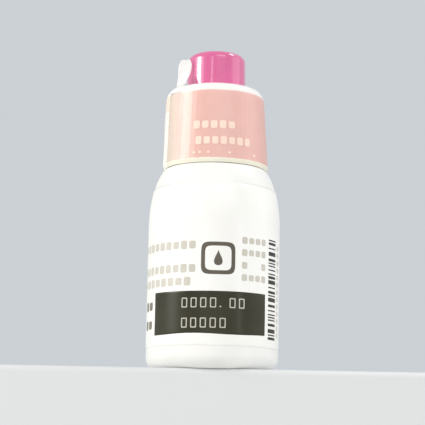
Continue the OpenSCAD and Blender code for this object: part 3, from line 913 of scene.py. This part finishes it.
def makeWorld():
    world = bpy.data.worlds.new("studio")
    bpy.context.scene.world = world
    world.use_nodes = True
    tree = world.node_tree
    tree.nodes.clear()
    path = addNode(tree, "ShaderNodeLightPath")
    seen = mathNode(tree, "MAXIMUM", path.outputs["Is Camera Ray"], path.outputs["Is Glossy Ray"])
    seen = mathNode(tree, "MAXIMUM", seen, path.outputs["Is Transmission Ray"])
    fill = addNode(tree, "ShaderNodeBackground", None, Color=studio["fill"], Strength=studio["fillStrength"])
    shown = addNode(tree, "ShaderNodeBackground", None, Color=studio["backdrop"], Strength=1.0)
    mix = addNode(tree, "ShaderNodeMixShader", None, i0=seen, i1=fill.outputs[0], i2=shown.outputs[0])
    out = addNode(tree, "ShaderNodeOutputWorld")
    tree.links.new(mix.outputs[0], out.inputs["Surface"])


# azimuth and rise are in degrees, from the front towards the right and upwards; away, wide and tall are in
# millimetres. A lamp that isn't mirrored doesn't show in gloss.
lampAim = 32  # the height on the bottle's axis that every lamp looks at
lamps = {
    "leftStrip": {"azimuth": -74, "rise": 20, "away": 500, "wide": 140, "tall": 150, "power": 0.72,
                  "color": (1, 0.98, 0.88)},
    "leftGlow": {"azimuth": -76, "rise": 20, "away": 520, "wide": 420, "tall": 150, "power": 0.22,
                 "color": (1, 0.98, 0.9)},
    "leftLow": {"azimuth": -74, "rise": 5, "away": 500, "wide": 140, "tall": 90, "power": 0.09},
    "leftFill": {"azimuth": -112, "rise": 15, "away": 600, "wide": 300, "tall": 300, "power": 0.22,
                 "mirrored": False},
    "frontFill": {"azimuth": 18, "rise": 35, "away": 900, "wide": 500, "tall": 400, "power": 1.15},
    "lowFill": {"azimuth": 8, "rise": -14, "away": 700, "wide": 420, "tall": 200, "power": 0.45},
    "topSpot": {"azimuth": 96, "rise": 56, "away": 600, "wide": 110, "tall": 100, "power": 0.6},
    "nearSpot": {"azimuth": -18, "rise": 18, "away": 450, "wide": 40, "tall": 80, "power": 0.03},
    "nearLow": {"azimuth": -14, "rise": 3, "away": 450, "wide": 40, "tall": 60, "power": 0.014},
    "nearGlint": {"azimuth": -19, "rise": 14, "away": 450, "wide": 30, "tall": 14, "power": 0.013},
    "rightStrip": {"azimuth": 46, "rise": 4, "away": 500, "wide": 26, "tall": 120, "power": 0.06},
    "rightFill": {"azimuth": 85, "rise": 20, "away": 700, "wide": 500, "tall": 400, "power": 0.45},
}


def makeLamps():
    for name, s in lamps.items():
        turn, rise = math.radians(s["azimuth"]), math.radians(s["rise"])
        back = np.array([math.sin(turn) * math.cos(rise), -math.cos(turn) * math.cos(rise), math.sin(rise)])
        light = bpy.data.lights.new(name, "AREA")
        light.shape, light.size, light.size_y = "RECTANGLE", s["wide"] * mm, s["tall"] * mm
        light.energy = s["power"]
        light.color = s.get("color", (1, 1, 1))
        side = np.cross([0, 0, 1], back)
        side /= np.linalg.norm(side)
        up = np.cross(back, side)
        lamp = bpy.data.objects.new(name, light)
        lamp.visible_glossy = s.get("mirrored", True)
        spot = (np.array([0, 0, lampAim]) + back * s["away"]) * mm
        lamp.matrix_world = Matrix([[side[k], up[k], back[k], spot[k]] for k in range(3)] + [[0, 0, 0, 1]])
        bpy.context.scene.collection.objects.link(lamp)


# the camera: a little below the stand's top, looking up, with a slight roll
shot = {"place": (-0.395, -275.1, -16.9), "pitch": 9.74, "roll": 1.1, "focalPixels": 1460, "frame": 425}


def makeCamera():
    pitch, roll = math.radians(shot["pitch"]), math.radians(shot["roll"])
    ahead = np.array([0, math.cos(pitch), math.sin(pitch)])
    above, level = np.array([0, -math.sin(pitch), math.cos(pitch)]), np.array([1, 0, 0])
    up = above * math.cos(roll) - level * math.sin(roll)
    side = level * math.cos(roll) + above * math.sin(roll)
    data = bpy.data.cameras.new("camera")
    data.sensor_width = 36
    data.lens = data.sensor_width * shot["focalPixels"] / shot["frame"]
    data.clip_start, data.clip_end = 0.01, 20
    camera = bpy.data.objects.new("camera", data)
    rows = [[side[k], up[k], -ahead[k], shot["place"][k] * mm] for k in range(3)]
    camera.matrix_world = Matrix(rows + [[0, 0, 0, 1]])
    bpy.context.scene.collection.objects.link(camera)
    bpy.context.scene.camera = camera


makeStand()
makeWorld()
makeLamps()
makeCamera()
bpy.context.scene.view_settings.view_transform = "Standard"
print("stage 5: stand, lamps and camera made")
